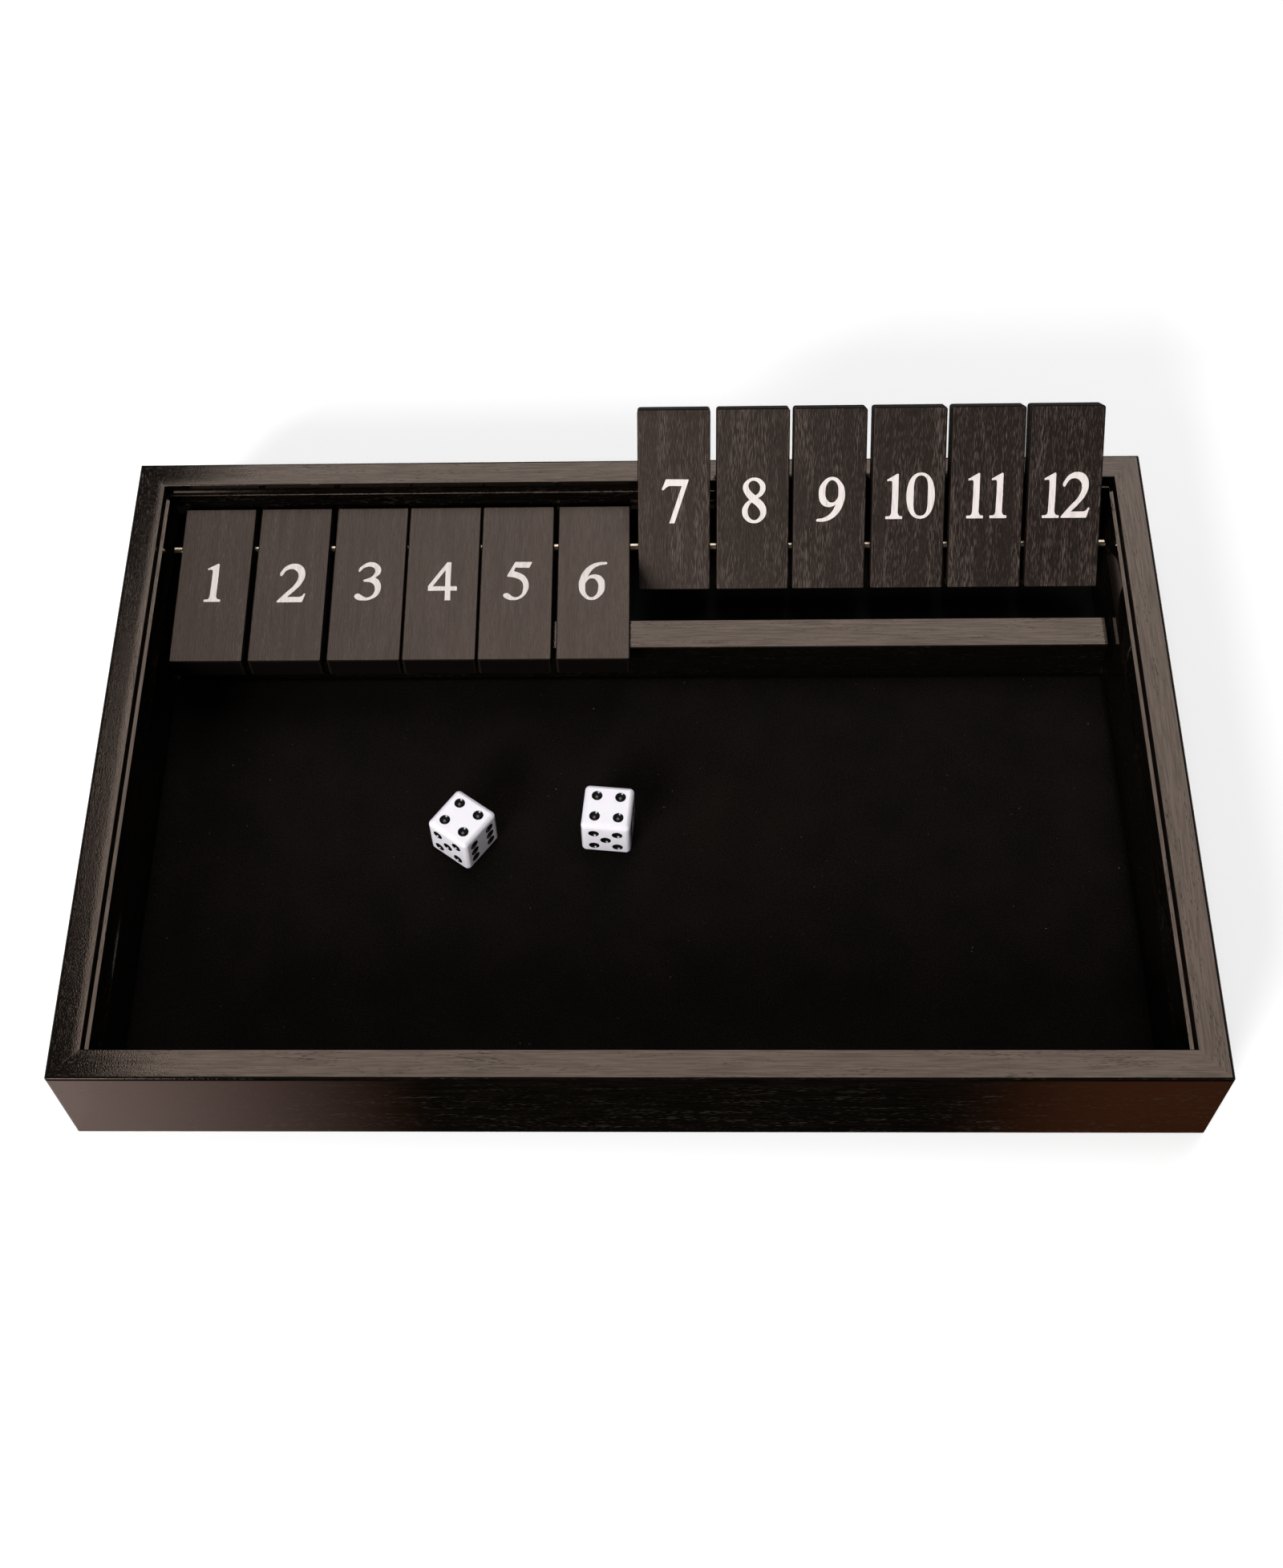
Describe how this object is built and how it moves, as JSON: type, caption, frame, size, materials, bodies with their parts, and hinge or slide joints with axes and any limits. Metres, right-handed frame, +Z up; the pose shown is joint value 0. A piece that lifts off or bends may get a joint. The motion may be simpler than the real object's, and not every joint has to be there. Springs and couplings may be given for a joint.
{
  "type": "shut the box game",
  "caption": "Shallow mitred wooden tray with a felt-lined play area, a row of numbered tiles hinged on a steel rod behind a stop bar, and a pair of dice.",
  "frame": {"origin": "centre of the tray's flat underside", "axes": "+X along the row of tiles from 1 to 12, +Y from the player towards the tiles, +Z up out of the tray"},
  "size_m": [0.343, 0.2364, 0.0648],
  "materials": {
    "rail_wood": "black-stained open-grain wood, satin lacquer",
    "tile_wood": "black-stained fine-grain wood, matt",
    "base_board": "black-painted thin board",
    "black_felt": "short-nap felt",
    "bright_steel": "bright drawn rod",
    "white_dice": "moulded, polished",
    "numeral_print": "warm white screen print on the tiles",
    "pip_paint": "black enamel in the pips of the dice"
  },
  "bodies": {
    "tray": {"front_rail": "rail_wood", "back_rail": "rail_wood", "left_rail": "rail_wood", "right_rail": "rail_wood", "base_panel": "base_board", "felt_lining": "black_felt", "stop_bar": "rail_wood", "hinge_rod": "bright_steel"},
    "tile_1": {"tile_1": "tile_wood"},
    "tile_2": {"tile_2": "tile_wood"},
    "tile_3": {"tile_3": "tile_wood"},
    "tile_4": {"tile_4": "tile_wood"},
    "tile_5": {"tile_5": "tile_wood"},
    "tile_6": {"tile_6": "tile_wood"},
    "tile_7": {"tile_7": "tile_wood"},
    "tile_8": {"tile_8": "tile_wood"},
    "tile_9": {"tile_9": "tile_wood"},
    "tile_10": {"tile_10": "tile_wood"},
    "tile_11": {"tile_11": "tile_wood"},
    "tile_12": {"tile_12": "tile_wood"},
    "die_left": {"die_left": "white_dice"},
    "die_right": {"die_right": "white_dice"}
  },
  "joints": [
    {"name": "tile_1_hinge", "type": "hinge", "parent": "tray", "child": "tile_1", "pos_m": [0, 0.08677, 0.0275], "axis": [-1, 0, 0], "range_deg": [0, 136.6]},
    {"name": "tile_2_hinge", "type": "hinge", "parent": "tray", "child": "tile_2", "pos_m": [0, 0.08677, 0.0275], "axis": [-1, 0, 0], "range_deg": [0, 136.6]},
    {"name": "tile_3_hinge", "type": "hinge", "parent": "tray", "child": "tile_3", "pos_m": [0, 0.08677, 0.0275], "axis": [-1, 0, 0], "range_deg": [0, 136.6]},
    {"name": "tile_4_hinge", "type": "hinge", "parent": "tray", "child": "tile_4", "pos_m": [0, 0.08677, 0.0275], "axis": [-1, 0, 0], "range_deg": [0, 136.6]},
    {"name": "tile_5_hinge", "type": "hinge", "parent": "tray", "child": "tile_5", "pos_m": [0, 0.08677, 0.0275], "axis": [-1, 0, 0], "range_deg": [0, 136.6]},
    {"name": "tile_6_hinge", "type": "hinge", "parent": "tray", "child": "tile_6", "pos_m": [0, 0.08677, 0.0275], "axis": [-1, 0, 0], "range_deg": [0, 136.6]},
    {"name": "tile_7_hinge", "type": "hinge", "parent": "tray", "child": "tile_7", "pos_m": [0, 0.08677, 0.0275], "axis": [-1, 0, 0], "range_deg": [-136.6, 0]},
    {"name": "tile_8_hinge", "type": "hinge", "parent": "tray", "child": "tile_8", "pos_m": [0, 0.08677, 0.0275], "axis": [-1, 0, 0], "range_deg": [-136.6, 0]},
    {"name": "tile_9_hinge", "type": "hinge", "parent": "tray", "child": "tile_9", "pos_m": [0, 0.08677, 0.0275], "axis": [-1, 0, 0], "range_deg": [-136.6, 0]},
    {"name": "tile_10_hinge", "type": "hinge", "parent": "tray", "child": "tile_10", "pos_m": [0, 0.08677, 0.0275], "axis": [-1, 0, 0], "range_deg": [-136.6, 0]},
    {"name": "tile_11_hinge", "type": "hinge", "parent": "tray", "child": "tile_11", "pos_m": [0, 0.08677, 0.0275], "axis": [-1, 0, 0], "range_deg": [-136.6, 0]},
    {"name": "tile_12_hinge", "type": "hinge", "parent": "tray", "child": "tile_12", "pos_m": [0, 0.08677, 0.0275], "axis": [-1, 0, 0], "range_deg": [-136.6, 0]},
    {"name": "die_left_lift", "type": "slide", "parent": "tray", "child": "die_left", "axis": [0, 0, 1], "range_m": [0, 0.06]},
    {"name": "die_right_lift", "type": "slide", "parent": "tray", "child": "die_right", "axis": [0, 0, 1], "range_m": [0, 0.06]}
  ]
}
